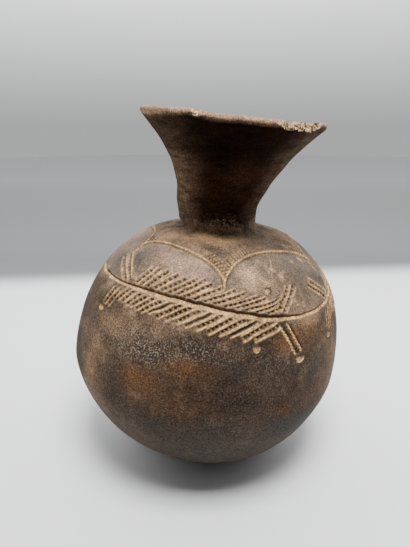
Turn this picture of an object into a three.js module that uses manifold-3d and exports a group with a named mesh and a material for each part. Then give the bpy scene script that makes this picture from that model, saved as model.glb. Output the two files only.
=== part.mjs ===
// Terracotta jar: a hand-built round body, a waisted flaring neck and a carved band on the shoulder.
// Millimetres, +Z up. The carved figure's front looks along -Y. The origin is the middle of the foot's flat.

import * as THREE from 'three';
import { mergeVertices } from 'three/addons/utils/BufferGeometryUtils.js';
import Module from 'manifold-3d';

const wasm = await Module();
wasm.setup();

// Driving sizes of the vessel
const BELLY_RADIUS = 105.9;
const BELLY_HEIGHT = 78.2;
const SHOULDER_RISE = 105.2;
const NECK_RADIUS = 29.4;
const NECK_HEIGHT = 77.7;
const MOUTH_RADIUS = 65.3;
const BODY_WALL = 7;
const FLOOR_WALL = 9;
const NECK_WALL = 6;
const LIP_WALL = 5.4;
const FOOT_RADIUS = 28;

// Roundness of the body: superellipse exponents across and up, below and above the belly
const LOWER_ACROSS = 2.914;
const LOWER_UP = 1.455;
const UPPER_ACROSS = 2.963;
const UPPER_UP = 2.018;

// How the neck's outline pulls away from the shoulder and leans out to the mouth
const WAIST_DRAW = 0.5;
const WAIST_REACH = 32.6;
const FLARE_ACROSS = 22.5;
const FLARE_DOWN = 24.3;

// Pose of the hand-built shape: it leans towards +X and its middle wanders sideways with height
const LEAN = THREE.MathUtils.degToRad(5.24);
const WANDER = [
  { height: 0, shift: 0 },
  { height: 58, shift: -3.1 },
  { height: 180, shift: 1.7 },
  { height: 188, shift: -3.7 },
  { height: 200, shift: -4.8 },
  { height: 215, shift: -2.3 },
  { height: 232, shift: -0.4 },
  { height: 249, shift: 0.3 },
  { height: 262, shift: 0.7 },
];

// The shoulder is a little fuller at the back on the right: how much, which way and between what heights
const FULLNESS = 1.6;
const FULL_AZIMUTH = 115;
const FULL_FROM = 162;
const FULL_MOST = 180;
const FULL_TO = 196;

// Carved band: azimuths are degrees from the front towards +X. Rises are millimetres along the wall above
// the band's ring, as drawn on a shoulder whose wall is DRAWN_WALL long, and they stretch with the real one.
const BAND_SHARE = 0.5138;
const DRAWN_WALL = 142.9;
const GROOVE_WIDTH = 5.4;
const GROOVE_DEPTH = 2;
const GROOVE_SWAYS = [
  { waves: 1, size: 2.7, crest: -119 },
  { waves: 3, size: 3.4, crest: -22 },
];

// Six arches side by side: where each one's left foot is, how far it rises and how far its crown leans
const ARCH_WIDTH = 2;
const ARCH_DEPTH = 0.9;
const ARCHES = [
  { foot: -62, footRise: 29, crown: 19, skew: -0.1 },
  { foot: 0.5, footRise: 15, crown: 25.5, skew: 0.25 },
  { foot: 69, footRise: 24, crown: 22, skew: 0 },
  { foot: 127, footRise: 19, crown: 24, skew: 0.1 },
  { foot: 186, footRise: 23, crown: 22, skew: -0.1 },
  { foot: 243, footRise: 18, crown: 21, skew: 0 },
];

// Three crawling figures along the groove: azimuth of the middle of the rear and of the fore legs
const FIGURES = [
  { rear: -47, fore: 26.5 },
  { rear: 63, fore: 137 },
  { rear: 181, fore: 254 },
];
const BACK_STROKES = 13;
const BACK_REACH = 16.5;
const BELLY_REACH = 15;
const STROKE_WIDTH = 3;
const STROKE_DEPTH = 1.6;
const STROKE_SWEEP_REAR = 5;
const STROKE_SWEEP_FORE = 12;
const FIRST_STROKE_IN = 5;
const LAST_STROKE_IN = 4;
const TIP_LIMIT = 1;
const LEG_ROW_GAP = 4.4;
const LEGS = [
  { end: 'rear', start: [-3, 4], tip: [-12, 18] },
  { end: 'rear', start: [-1, -8], tip: [-5.5, -20], toe: [-7.5, -23] },
  { end: 'fore', start: [2.5, 5], tip: [10, 19] },
  { end: 'fore', start: [0, -5], tip: [7, -24], toe: [8, -28.5] },
  { end: 'fore', start: [-2.5, -5.5], tip: [-10.5, -13], toe: [-11.5, -18] },
];
const TOE_WIDTH = 6;
const TOE_DEPTH = 1.3;

// Broken places on the lip: azimuth of the middle, length round the lip, how deep and how high they bite
const CHIPS = [
  { azimuth: 33, length: 27, depth: 2.6, height: 3 },
  { azimuth: 47, length: 16, depth: 3.2, height: 4.2 },
  { azimuth: -22, length: 7, depth: 1.4, height: 1.6 },
];

// Facets
const ROUND_STEPS = 48;
const BODY_STEPS = 18;
const NECK_STEPS = 6;
const LIP_STEPS = 3;
const INNER_BODY_STEPS = 8;
const INNER_NECK_STEPS = 4;
const GROOVE_SIDES = 6;
const ARCH_STEPS = 10;
const ARCH_SIDES = 4;
const WALL_SAMPLES = 400;
const MERGE_DISTANCE = 1e-4;

const CLAY = new THREE.MeshStandardMaterial({ color: 0x5c4436, roughness: 0.8, metalness: 0 });

// One point of a superellipse quarter: turn 0 is its widest place, turn 1 is its pole
function quarterPoint(turn, radius, rise, across, up) {
  const angle = (turn * Math.PI) / 2;
  return new THREE.Vector2(radius * Math.cos(angle) ** (2 / across), rise * Math.sin(angle) ** (2 / up));
}

// The body's outline below the belly, from the pole up, for a shell thinned by a wall and a floor
function lowerOutline(wall, floor) {
  const points = [new THREE.Vector2(0, floor)];
  for (let sample = 1; sample < WALL_SAMPLES; sample += 1) {
    const turn = 1 - sample / WALL_SAMPLES;
    const quarter = quarterPoint(turn, BELLY_RADIUS - wall, BELLY_HEIGHT - floor, LOWER_ACROSS, LOWER_UP);
    points.push(new THREE.Vector2(quarter.x, BELLY_HEIGHT - quarter.y));
  }
  return points;
}

// The body's outline from the belly up to the radius at which the neck stands on it
function upperOutline(wall, neckRadius) {
  const last = (2 / Math.PI) * Math.acos((neckRadius / (BELLY_RADIUS - wall)) ** (UPPER_ACROSS / 2));
  const points = [];
  for (let sample = 0; sample <= WALL_SAMPLES; sample += 1) {
    const turn = (last * sample) / WALL_SAMPLES;
    const quarter = quarterPoint(turn, BELLY_RADIUS - wall, SHOULDER_RISE - wall, UPPER_ACROSS, UPPER_UP);
    points.push(new THREE.Vector2(quarter.x, BELLY_HEIGHT + quarter.y));
  }
  return points;
}

// The whole body's outline from the pole to the neck, in steps of even length
function bodyOutline(wall, floor, neckRadius, steps) {
  const curve = new THREE.SplineCurve([...lowerOutline(wall, floor), ...upperOutline(wall, neckRadius)]);
  curve.arcLengthDivisions = 4 * WALL_SAMPLES;
  return curve.getSpacedPoints(steps);
}

// The neck's outer outline, from the shoulder to the lip's outer edge
function neckCurve() {
  const foot = upperOutline(0, NECK_RADIUS).at(-1);
  const edge = new THREE.Vector2(MOUTH_RADIUS, foot.y + NECK_HEIGHT);
  return new THREE.CubicBezierCurve(
    foot,
    new THREE.Vector2(foot.x + WAIST_DRAW, foot.y + WAIST_REACH),
    new THREE.Vector2(edge.x - FLARE_ACROSS, edge.y - FLARE_DOWN),
    edge,
  );
}

// The neck's wall thickness from its foot (0) to the lip (1)
function neckWall(along) {
  return THREE.MathUtils.lerp(NECK_WALL, LIP_WALL, along);
}

// A point of the neck's inner face, square to the outer outline
function neckInside(curve, along) {
  const outside = curve.getPoint(along);
  const direction = curve.getTangent(along);
  return new THREE.Vector2(
    outside.x - direction.y * neckWall(along),
    outside.y + direction.x * neckWall(along),
  );
}

// The lip: a half round from the neck's outer edge over to its inner edge
function lipOutline(curve) {
  const outer = curve.getPoint(1);
  const inner = neckInside(curve, 1);
  const middle = outer.clone().add(inner).multiplyScalar(0.5);
  const start = Math.atan2(outer.y - middle.y, outer.x - middle.x);
  const radius = outer.distanceTo(middle);
  const points = [];
  for (let step = 1; step < LIP_STEPS; step += 1) {
    const angle = start + (Math.PI * step) / LIP_STEPS;
    points.push(new THREE.Vector2(middle.x + radius * Math.cos(angle), middle.y + radius * Math.sin(angle)));
  }
  return points;
}

// The closed outline of the hollow vessel, from the outer pole round to the inner pole
function vesselOutline() {
  const curve = neckCurve();
  const outerNeck = [];
  for (let step = 1; step <= NECK_STEPS; step += 1) {
    outerNeck.push(curve.getPoint(step / NECK_STEPS));
  }
  const innerNeck = [];
  for (let step = INNER_NECK_STEPS; step >= 1; step -= 1) {
    innerNeck.push(neckInside(curve, step / INNER_NECK_STEPS));
  }
  const throat = neckInside(curve, 0).x;
  return [
    ...bodyOutline(0, 0, NECK_RADIUS, BODY_STEPS),
    ...outerNeck,
    ...lipOutline(curve),
    ...innerNeck,
    ...bodyOutline(BODY_WALL, FLOOR_WALL, throat, INNER_BODY_STEPS).reverse(),
  ];
}

// A solid from a closed geometry: shared corners are merged and folded triangles dropped
function toSolid(geometry) {
  geometry.deleteAttribute('normal');
  geometry.deleteAttribute('uv');
  const merged = mergeVertices(geometry, MERGE_DISTANCE);
  const index = merged.getIndex().array;
  const triangles = [];
  for (let first = 0; first < index.length; first += 3) {
    const [a, b, c] = index.slice(first, first + 3);
    if (a !== b && b !== c && c !== a) {
      triangles.push(a, b, c);
    }
  }
  const vertProperties = new Float32Array(merged.getAttribute('position').array);
  const triVerts = new Uint32Array(triangles);
  return new wasm.Manifold(new wasm.Mesh({ numProp: 3, vertProperties, triVerts }));
}

// A geometry from a solid, with each corner moved by a function
function toGeometry(solid, move = (corner) => corner) {
  const mesh = solid.getMesh();
  const positions = new Float32Array(mesh.numVert * 3);
  const corner = new THREE.Vector3();
  for (let vertex = 0; vertex < mesh.numVert; vertex += 1) {
    corner.fromArray(mesh.vertProperties, vertex * mesh.numProp);
    move(corner).toArray(positions, vertex * 3);
  }
  const geometry = new THREE.BufferGeometry();
  geometry.setAttribute('position', new THREE.BufferAttribute(positions, 3));
  geometry.setIndex(new THREE.BufferAttribute(new Uint32Array(mesh.triVerts), 1));
  return geometry;
}

// The outer wall from the belly to the neck, as a curve that is measured along its length
const WALL = new THREE.SplineCurve(upperOutline(0, NECK_RADIUS));
WALL.arcLengthDivisions = WALL_SAMPLES;

// Radius and height of the outer wall at a rise above the band's ring
function wallAt(rise) {
  return WALL.getPointAt(THREE.MathUtils.clamp(BAND_SHARE + rise / DRAWN_WALL, 0, 1));
}

// A point at an azimuth on a circle round the upright axis
function roundPoint(azimuth, radius, height) {
  const angle = THREE.MathUtils.degToRad(azimuth);
  return new THREE.Vector3(radius * Math.sin(angle), -radius * Math.cos(angle), height);
}

// A point at a lift off the outer wall, and the wall's outward direction there
function wallPoint(azimuth, rise, lift = 0) {
  const place = wallAt(rise);
  const above = wallAt(rise + 1);
  const slope = above.clone().sub(place).normalize();
  return roundPoint(azimuth, place.x + slope.y * lift, place.y - slope.x * lift);
}

function wallNormal(azimuth, rise) {
  return wallPoint(azimuth, rise, 1).sub(wallPoint(azimuth, rise));
}

// Rise of the groove's middle at an azimuth: a ring with slow sways
function grooveRise(azimuth) {
  let rise = 0;
  for (const sway of GROOVE_SWAYS) {
    rise += sway.size * Math.cos(THREE.MathUtils.degToRad(sway.waves * (azimuth - sway.crest)));
  }
  return rise;
}

// Radius of a round tool that presses a channel of a given width and depth
function toolRadius(width, depth) {
  return (width * width / 4 + depth * depth) / (2 * depth);
}

// The groove runs all the way round, so its tool's path is a closed ring
function grooveCutter() {
  const radius = toolRadius(GROOVE_WIDTH, GROOVE_DEPTH);
  const path = [];
  for (let step = 0; step < ROUND_STEPS; step += 1) {
    const azimuth = (360 * step) / ROUND_STEPS;
    path.push(wallPoint(azimuth, grooveRise(azimuth), radius - GROOVE_DEPTH));
  }
  const ring = new THREE.CatmullRomCurve3(path, true);
  return toSolid(new THREE.TubeGeometry(ring, ROUND_STEPS, radius, GROOVE_SIDES, true));
}

// Azimuth and rise of an arch at a share of its span, from its left foot to the next arch's foot
function archPlace(number, share) {
  const arch = ARCHES[number];
  const next = ARCHES[(number + 1) % ARCHES.length];
  const nextFoot = next.foot < arch.foot ? next.foot + 360 : next.foot;
  const across = 2 * share - 1;
  const leaned = across + arch.skew * (1 - across * across);
  const base = THREE.MathUtils.lerp(arch.footRise, next.footRise, share);
  return {
    azimuth: THREE.MathUtils.lerp(arch.foot, nextFoot, share),
    rise: base + arch.crown * Math.sqrt(Math.max(0, 1 - leaned * leaned)),
  };
}

// Each arch is one drawn line, with its steps closer together near the steep feet
function archCutter(number) {
  const radius = toolRadius(ARCH_WIDTH, ARCH_DEPTH);
  const path = [];
  for (let step = 0; step <= ARCH_STEPS; step += 1) {
    const share = (1 - Math.cos((Math.PI * step) / ARCH_STEPS)) / 2;
    const place = archPlace(number, share);
    path.push(wallPoint(place.azimuth, place.rise, radius - ARCH_DEPTH));
  }
  const outline = new THREE.EllipseCurve(0, 0, radius, radius).getPoints(ARCH_SIDES);
  const section = new THREE.Shape(outline.slice(0, ARCH_SIDES));
  const line = new THREE.CatmullRomCurve3(path);
  const sweep = { steps: ARCH_STEPS, extrudePath: line, bevelEnabled: false };
  return toSolid(new THREE.ExtrudeGeometry(section, sweep));
}

// A straight pressed stroke with a keel and pointed ends, between two places on the wall
function strokeCutter(from, to, width, depth) {
  const start = wallPoint(from[0], from[1]);
  const end = wallPoint(to[0], to[1]);
  const along = end.clone().sub(start);
  const length = along.length();
  along.normalize();
  const middle = [(from[0] + to[0]) / 2, (from[1] + to[1]) / 2];
  const outward = wallNormal(middle[0], middle[1]);
  outward.addScaledVector(along, -outward.dot(along)).normalize();
  const across = new THREE.Vector3().crossVectors(along, outward);
  const spindle = new THREE.OctahedronGeometry(1);
  spindle.scale(width / 2, length / 2, depth);
  spindle.applyMatrix4(new THREE.Matrix4().makeBasis(across, along, outward));
  spindle.translate(...start.add(end).multiplyScalar(0.5));
  return toSolid(spindle);
}

// The strokes on both sides of the groove that make one figure's body, slanting towards its fore end
function bodyStrokes(figure) {
  const strokes = [];
  const gap = GROOVE_WIDTH / 2;
  for (let stroke = 0; stroke < BACK_STROKES; stroke += 1) {
    const share = stroke / (BACK_STROKES - 1);
    const azimuth = THREE.MathUtils.lerp(figure.rear + FIRST_STROKE_IN, figure.fore - LAST_STROKE_IN, share);
    const sweep = THREE.MathUtils.lerp(STROKE_SWEEP_REAR, STROKE_SWEEP_FORE, Math.sqrt(share));
    const upperTip = Math.min(azimuth + sweep, figure.fore + TIP_LIMIT);
    const upperReach = BACK_REACH * ((upperTip - azimuth) / sweep);
    const rise = grooveRise(azimuth);
    const upper = [[azimuth, rise + gap], [upperTip, rise + upperReach]];
    const lowerTip = azimuth - sweep;
    const lower = [[azimuth, rise - gap], [lowerTip, rise - BELLY_REACH]];
    strokes.push(strokeCutter(...upper, STROKE_WIDTH, STROKE_DEPTH));
    strokes.push(strokeCutter(...lower, STROKE_WIDTH, STROKE_DEPTH));
  }
  return strokes;
}

// A leg is two strokes side by side, and some end in a pressed toe
function legCutters(figure) {
  const cutters = [];
  for (const leg of LEGS) {
    const hip = figure[leg.end];
    const rise = grooveRise(hip);
    for (const side of [-1, 1]) {
      const apart = THREE.MathUtils.radToDeg((side * LEG_ROW_GAP) / 2 / wallAt(rise).x);
      const from = [hip + leg.start[0] + apart, rise + leg.start[1]];
      const to = [hip + leg.tip[0] + apart, rise + leg.tip[1]];
      cutters.push(strokeCutter(from, to, STROKE_WIDTH, STROKE_DEPTH));
    }
    if (leg.toe) {
      cutters.push(dentCutter(hip + leg.toe[0], rise + leg.toe[1]));
    }
  }
  return cutters;
}

// A shallow dent pressed by a fingertip
function dentCutter(azimuth, rise) {
  const dent = new THREE.IcosahedronGeometry(1, 0);
  dent.scale(TOE_WIDTH / 2, TOE_WIDTH / 2, TOE_DEPTH);
  const outward = wallNormal(azimuth, rise);
  dent.applyQuaternion(new THREE.Quaternion().setFromUnitVectors(new THREE.Vector3(0, 0, 1), outward));
  dent.translate(...wallPoint(azimuth, rise));
  return toSolid(dent);
}

// A broken place on the lip's outer edge
function chipCutter(chip) {
  const edge = neckCurve().getPoint(1);
  const bite = new THREE.DodecahedronGeometry(1);
  bite.scale(chip.length / 2, chip.depth, chip.height);
  bite.rotateZ(THREE.MathUtils.degToRad(chip.azimuth));
  bite.translate(...roundPoint(chip.azimuth, edge.x, edge.y + LIP_WALL / 4));
  return toSolid(bite);
}

// Sideways shift of the hand-built shape's middle at a height
function wanderAt(height) {
  const above = WANDER.findIndex((knot) => knot.height > height);
  if (above < 0) {
    return WANDER.at(-1).shift;
  }
  const low = WANDER[Math.max(0, above - 1)];
  const high = WANDER[above];
  const share = THREE.MathUtils.smoothstep(height, low.height, high.height);
  return THREE.MathUtils.lerp(low.shift, high.shift, share);
}

// How much higher the fuller part of the shoulder is at a corner of the straight vessel
function fullnessAt(corner) {
  const rising = THREE.MathUtils.smoothstep(corner.z, FULL_FROM, FULL_MOST);
  const falling = THREE.MathUtils.smoothstep(corner.z, FULL_MOST, FULL_TO);
  const facing = Math.cos(Math.atan2(corner.x, -corner.y) - THREE.MathUtils.degToRad(FULL_AZIMUTH));
  return FULLNESS * rising * (1 - falling) * Math.max(0, facing);
}

// Moves a corner of the straight vessel to where the leaning hand-built one has it
function posed(corner) {
  const higher = fullnessAt(corner);
  corner.x += wanderAt(corner.z);
  corner.z += higher;
  return corner.applyAxisAngle(new THREE.Vector3(0, 1, 0), LEAN);
}

// Height and middle of the flat that the leaning body is worn to, as wide as the foot
function footPlane() {
  const side = lowerOutline(0, 0);
  const outline = [...side, ...side.map((point) => new THREE.Vector2(-point.x, point.y))]
    .map((point) => posed(new THREE.Vector3(point.x, 0, point.y)))
    .sort((one, other) => one.z - other.z);
  let [least, most] = [0, 0];
  const edge = outline.find((point) => {
    least = Math.min(least, point.x);
    most = Math.max(most, point.x);
    return most - least >= 2 * FOOT_RADIUS;
  });
  return { height: edge.z, middle: (least + most) / 2 };
}

// The straight vessel with all its carving
function carvedVessel() {
  const lathe = new THREE.LatheGeometry(vesselOutline(), ROUND_STEPS);
  lathe.rotateX(Math.PI / 2);
  const cutters = [grooveCutter()];
  ARCHES.forEach((arch, number) => cutters.push(archCutter(number)));
  for (const figure of FIGURES) {
    cutters.push(...bodyStrokes(figure), ...legCutters(figure));
  }
  for (const chip of CHIPS) {
    cutters.push(chipCutter(chip));
  }
  return cutters.reduce((vessel, cutter) => vessel.subtract(cutter), toSolid(lathe));
}

// The leaning jar, cut flat under its foot and moved so that the flat's middle is the origin
function jarGeometry() {
  const leaning = toSolid(toGeometry(carvedVessel(), posed));
  const foot = footPlane();
  const under = 2 * BELLY_RADIUS;
  const ground = new THREE.BoxGeometry(2 * under, 2 * under, under);
  ground.translate(foot.middle, 0, foot.height - under / 2);
  const jar = toGeometry(leaning.subtract(toSolid(ground)));
  jar.translate(-foot.middle, 0, -foot.height);
  jar.computeVertexNormals();
  return jar;
}

const jar = new THREE.Mesh(jarGeometry(), CLAY);
jar.name = 'jar';

const vessel = new THREE.Group();
vessel.add(jar);

export default vessel;
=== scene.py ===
import math

import bpy
import numpy as np
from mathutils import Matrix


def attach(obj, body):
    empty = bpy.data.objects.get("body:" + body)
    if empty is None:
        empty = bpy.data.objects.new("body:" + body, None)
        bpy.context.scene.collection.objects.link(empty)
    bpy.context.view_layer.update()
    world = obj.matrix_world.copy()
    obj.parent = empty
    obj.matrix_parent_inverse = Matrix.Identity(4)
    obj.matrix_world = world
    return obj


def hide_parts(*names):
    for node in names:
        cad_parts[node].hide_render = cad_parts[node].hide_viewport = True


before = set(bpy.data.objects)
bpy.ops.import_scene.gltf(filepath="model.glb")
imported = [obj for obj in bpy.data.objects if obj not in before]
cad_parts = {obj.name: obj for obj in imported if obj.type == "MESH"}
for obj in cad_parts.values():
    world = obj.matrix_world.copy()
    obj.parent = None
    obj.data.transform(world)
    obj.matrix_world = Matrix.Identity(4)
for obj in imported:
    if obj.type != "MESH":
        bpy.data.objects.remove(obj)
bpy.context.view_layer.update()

# Everything is drawn in millimetres and turned into metres at the end
MM = 0.001
SEED = 11

# Driving sizes of the vessel, as in the solid
BELLY_RADIUS = 105.9
BELLY_HEIGHT = 78.2
SHOULDER_RISE = 105.2
NECK_RADIUS = 29.4
NECK_HEIGHT = 77.7
MOUTH_RADIUS = 65.3
BODY_WALL = 7
FLOOR_WALL = 9
NECK_WALL = 6
LIP_WALL = 5.4
LOWER_ACROSS, LOWER_UP = 2.914, 1.455
UPPER_ACROSS, UPPER_UP = 2.963, 2.018
WAIST_DRAW, WAIST_REACH = 0.5, 32.6
FLARE_ACROSS, FLARE_DOWN = 22.5, 24.3

# Pose: the jar leans towards +X and its middle wanders sideways with height
LEAN = math.radians(5.24)
WANDER_HEIGHTS = (0, 58, 180, 188, 200, 215, 232, 249, 262)
WANDER_SHIFTS = (0, -3.1, 1.7, -3.7, -4.8, -2.3, -0.4, 0.3, 0.7)
FULLNESS = 1.6
FULL_TURN = 115
FULL_FROM, FULL_MOST, FULL_TO = 162, 180, 196
FOOT_MIDDLE = 19.08
FOOT_HEIGHT = 0.861

# Carved band: turns are degrees from the front towards +X, rises are millimetres above the band's ring
BAND_SHARE = 0.5138
# Slow sways of the groove: waves to the round, size and turn of a crest
GROOVE_SWAYS = ((1, 2.7, -119), (3, 3.4, -22))
# The groove's section: places across it, and how far out of the wall they lie
GROOVE_ACROSS = (-4.6, -3.6, -1.4, 0.4, 1.0, 1.5, 2.1, 2.8, 3.8)
GROOVE_LEVEL = (0, -0.25, -1.25, -2.2, -2.35, -1.5, 0.12, 0.25, 0)
# Arches: turn and rise of the left foot, height of the crown, how far the crown leans over
ARCHES = (
    (-62, 29, 19, -0.1),
    (0.5, 15, 25.5, 0.25),
    (69, 24, 22, 0),
    (127, 19, 24, 0.1),
    (186, 23, 22, -0.1),
    (243, 18, 21, 0),
)
# Figures: turns of the rear and the fore hip
FIGURES = ((-47, 26.5), (63, 137), (181, 254))
FRONT_FIGURE = FIGURES[0]

# A figure's strokes, as rises from the groove's middle
UPPER_STROKES = 16
LOWER_STROKES = 17
UPPER_START, UPPER_REACH = 2.6, 15.4
LOWER_START = -3.2
LOWER_REACH_REAR, LOWER_REACH_FORE = -12.4, -15.4
# Degrees behind the rear hip, degrees left free in all, and how much closer the strokes stand in front
UPPER_IN, UPPER_FREE, UPPER_CROWDING = 5, 11.5, 0.2
LOWER_IN, LOWER_FREE, LOWER_CROWDING = 3, 5, 0.15
# Smooth strokes: depth, half width and height of the raised sides
SMOOTH_STROKES = {"plain": (1.0, 0.9, 0.65), "cut": (1.1, 0.8, 0)}
STROKE_HALF = 1.15
STROKE_DEEP = 0.7
PIT_DEEP = 1.6
PIT_PITCH = 3.1
MOST_PITS = 40
RIDGE_HIGH = 0.55
CORD_PITCH = 2.4
LEG_GAP = 4.2
LEG_POLISH = 0.45
FOOT_DOT_PITCH = 2.8
FOOT_DOT_ROWS = (2.6, 4.9, 7.2)
MOST_FOOT_DOTS = 80

# Marks of the legs: kind, start and end from the hip as (turn, rise from the groove)
REAR_LEG = (
    ("dotted", (0.9, 2.6), (-12.1, 18.4)),
    ("dotted", (-2.4, 2.2), (-14.9, 16.2)),
    ("dotted", (-2, -5.5), (-5.1, -18.8)),
    ("dotted", (-5.6, -6.5), (-7.9, -19.2)),
)
# The front figure stretches its rear leg further back than the others
FRONT_REAR_LEG = (
    ("dotted", (0.6, 2.8), (-14.6, 19)),
    ("dotted", (-2.6, 2.2), (-18.8, 15)),
) + REAR_LEG[2:]
FORE_LEG = (
    ("dotted", (-1.2, 4.2), (7.2, 19.4)),
    ("dotted", (1.5, 3.2), (10.5, 19)),
    ("ridge", (-1.6, -5.6), (5.2, -25.6)),
    ("cut", (-0.3, -5.2), (6.4, -24.8)),
    ("ridge", (1.7, -4.6), (8.1, -23.9)),
    ("cut", (3.0, -5), (8.9, -22.6)),
)
# Toes: turn and rise from the hip, width and height
REAR_TOES = ((-8.5, -22.8, 4.2, 3.4), (-9, 7.5, 3.6, 2.6))
FORE_TOES = ((7.6, -28.7, 4.8, 3.8), (-11.5, -18.4, 3.4, 3.8))
# Marks beside the figures: the nearest figure's number, kind, start and end
LOOSE_MARKS = (
    (0, "ridge", (-61.9, 30.5), (-60.6, 20)),
    (0, "scratch", (25.5, 21), (32.5, 41)),
    (0, "scratch", (30, 21), (33, 17)),
    (0, "scratch", (-27, 30), (-22, 22)),
    (1, "scratch", (96, 30), (104, 22)),
)
# A small horseshoe scar above the front figure: turn, rise and radius
SCAR = (21.8, 12.8, 2.3)

# The mouth is pulled a little wider than a smooth flare, as a share of its radius
LIP_SPREAD = 0.02

# Broken places on the lip: turn of the middle, half width in degrees, how deep they bite
CHIPS = ((30, 9, 3.6), (38, 8, 3.4), (47, 9, 4.6), (-22, 3, 1.3), (118, 5, 1.6), (203, 7, 2.0))
BREAK_SLANT = 26

# How fine the mesh is, as the longest edge in millimetres
PLAIN_EDGE = 5.2
INSIDE_EDGE = 10
NECK_EDGE = 3.8
NECK_FOOT_EDGE = 2.6
LIP_EDGE = 2.0
CHIP_EDGE = 0.85
CARVED_EDGE = 0.86
ARCH_EDGE = 1.05
HIDDEN_EDGE = 1.6
HIDDEN_ARCH_EDGE = 1.8
ROUND_COLUMNS = 72
ROW_STEP = 7
CURVE_SAMPLES = 400
BAND_LOW, BAND_HIGH = -46, 58
# Where the mesh is made finer in the band
FRONT_TURN = 75
SCAR_RINGS = (0.6, 1.2)
GROOVE_LINES = (-2.5, -0.5, 1.2)
FOOT_DOT_LINES = (3, 6, 9)
FOOT_DOTS_HIGH = 16
FOOT_DOTS_WIDE = 17
FOOT_DOTS_TURN = 45
PATH_STEPS = 60
MAP_TURN = 0.5
MAP_RISE = 1.0


def quarter(turns, radius, rise, across, up):
    """A superellipse quarter: turn 0 is its widest place and turn 1 its pole."""
    angle = turns * math.pi / 2
    return radius * np.cos(angle) ** (2 / across), rise * np.sin(angle) ** (2 / up)


def body_outline(wall, floor, neck_radius):
    """Outline of the body from its pole up to the neck, for a shell thinned by a wall and a floor."""
    low_turns = np.linspace(1, 0, CURVE_SAMPLES, endpoint=False)
    low = quarter(low_turns, BELLY_RADIUS - wall, BELLY_HEIGHT - floor, LOWER_ACROSS, LOWER_UP)
    last = 2 / math.pi * math.acos((neck_radius / (BELLY_RADIUS - wall)) ** (UPPER_ACROSS / 2))
    high_turns = np.linspace(0, last, CURVE_SAMPLES)
    high = quarter(high_turns, BELLY_RADIUS - wall, SHOULDER_RISE - wall, UPPER_ACROSS, UPPER_UP)
    radii = np.append(low[0], high[0])
    heights = np.append(BELLY_HEIGHT - low[1], BELLY_HEIGHT + high[1])
    radii[0] = 0
    return np.column_stack((radii, heights))


def neck_outlines():
    """Outer and inner outline of the neck, both from its foot to the lip."""
    foot = body_outline(0, 0, NECK_RADIUS)[-1]
    edge = np.array((MOUTH_RADIUS, foot[1] + NECK_HEIGHT))
    pulls = (foot, foot + (WAIST_DRAW, WAIST_REACH), edge - (FLARE_ACROSS, FLARE_DOWN), edge)
    share = np.linspace(0, 1, CURVE_SAMPLES)[:, None]
    rest = 1 - share
    weights = (rest**3, 3 * rest**2 * share, 3 * rest * share**2, share**3)
    outer = sum(weight * pull for weight, pull in zip(weights, pulls))
    way = np.gradient(outer, axis=0)
    way /= np.linalg.norm(way, axis=1)[:, None]
    wall = NECK_WALL + (LIP_WALL - NECK_WALL) * share
    inner = outer + wall * np.column_stack((-way[:, 1], way[:, 0]))
    return outer, inner


def lip_outline(outer, inner):
    """Half round from the neck's outer edge over to its inner edge."""
    middle = (outer + inner) / 2
    radius = np.linalg.norm(outer - middle)
    start = math.atan2(outer[1] - middle[1], outer[0] - middle[0])
    angles = start + np.linspace(0, math.pi, 24)[1:-1]
    return middle + radius * np.column_stack((np.cos(angles), np.sin(angles)))


def softened(values, reach):
    """A row of numbers smoothed over a reach of samples, with its two ends kept."""
    kernel = np.exp(-0.5 * (np.arange(-3 * reach, 3 * reach + 1) / reach) ** 2)
    ahead = 2 * values[0] - values[3 * reach:0:-1]
    behind = 2 * values[-1] - values[-2:-2 - 3 * reach:-1]
    smooth = np.convolve(np.concatenate((ahead, values, behind)), kernel / kernel.sum(), "valid")
    smooth[0], smooth[-1] = values[0], values[-1]
    return smooth


class Outline:
    """The vessel's closed outline from the outer pole round to the inner pole, by length along it."""

    def __init__(self):
        outer_body = body_outline(0, 0, NECK_RADIUS)
        outer_neck, inner_neck = neck_outlines()
        lip = lip_outline(outer_neck[-1], inner_neck[-1])
        inner_body = body_outline(BODY_WALL, FLOOR_WALL, inner_neck[0][0])[::-1]
        points = np.vstack((outer_body, outer_neck[1:], lip, inner_neck[::-1], inner_body))
        lengths = np.append(0, np.cumsum(np.linalg.norm(np.diff(points, axis=0), axis=1)))
        self.end = lengths[-1]
        self.belly = lengths[CURVE_SAMPLES]
        self.neck_foot = lengths[len(outer_body) - 1]
        self.lip_start = lengths[len(outer_body) + len(outer_neck) - 2]
        self.lip_end = lengths[len(outer_body) + len(outer_neck) + len(lip) - 1]
        self.throat = lengths[len(points) - len(inner_body)]
        self.band = self.belly + BAND_SHARE * (self.neck_foot - self.belly)
        self.places = np.linspace(0, self.end, int(self.end * 2))
        self.radii = softened(np.interp(self.places, lengths, points[:, 0]), 3)
        self.heights = softened(np.interp(self.places, lengths, points[:, 1]), 3)
        way = np.gradient(np.column_stack((self.radii, self.heights)), axis=0)
        way /= np.linalg.norm(way, axis=1)[:, None]
        self.outward = np.column_stack((way[:, 1], -way[:, 0]))

    def at(self, places):
        """Radius, height and outward direction at places along the outline."""
        radius = np.interp(places, self.places, self.radii)
        height = np.interp(places, self.places, self.heights)
        out_radius = np.interp(places, self.places, self.outward[:, 0])
        out_height = np.interp(places, self.places, self.outward[:, 1])
        return radius, height, out_radius, out_height


OUTLINE = Outline()


def wrapped(degrees):
    """Degrees brought to between -180 and 180."""
    return (degrees + 180) % 360 - 180


def hump(offset):
    """A smooth bump that is 1 in the middle and 0 from an offset of 1."""
    return np.where(np.abs(offset) < 1, np.cos(offset * math.pi / 2) ** 2, 0)


def ramp(values, low, high):
    """A smooth step from 0 at low to 1 at high."""
    share = np.clip((values - low) / (high - low), 0, 1)
    return share * share * (3 - 2 * share)

def spot(across, above):
    """A soft round spot that is 1 in the middle."""
    return np.exp(-(across**2) - above**2)

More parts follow.
